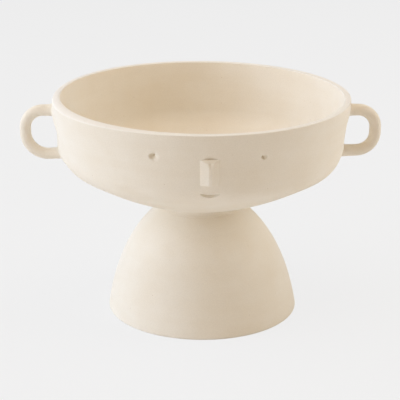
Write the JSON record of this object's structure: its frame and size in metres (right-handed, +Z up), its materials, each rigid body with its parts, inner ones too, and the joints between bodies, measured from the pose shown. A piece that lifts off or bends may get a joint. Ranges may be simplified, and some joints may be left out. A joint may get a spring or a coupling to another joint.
{
  "type": "decorative bowl",
  "caption": "Round cream bisque bowl with a simple pressed face and looped ear handles, raised on a hollow domed pedestal, for holding fruit or small things on a table.",
  "frame": {"origin": "centre of the pedestal's flat foot ring, on the surface that the bowl stands on", "axes": "+Z up, the face looks along -Y, and the handles stand out along -X and +X"},
  "size_m": [0.2814, 0.23, 0.174],
  "materials": {
    "bisque_clay": "matte bisque",
    "clay_slip": "matte bisque"
  },
  "bodies": {
    "root": {"bowl": "bisque_clay", "pedestal": "bisque_clay", "left_handle": "bisque_clay", "right_handle": "bisque_clay", "nose": "bisque_clay", "neck_slip_ring": "clay_slip", "nose_slip_bed": "clay_slip", "left_upper_handle_slip": "clay_slip", "left_lower_handle_slip": "clay_slip", "right_upper_handle_slip": "clay_slip", "right_lower_handle_slip": "clay_slip"}
  },
  "joints": []
}
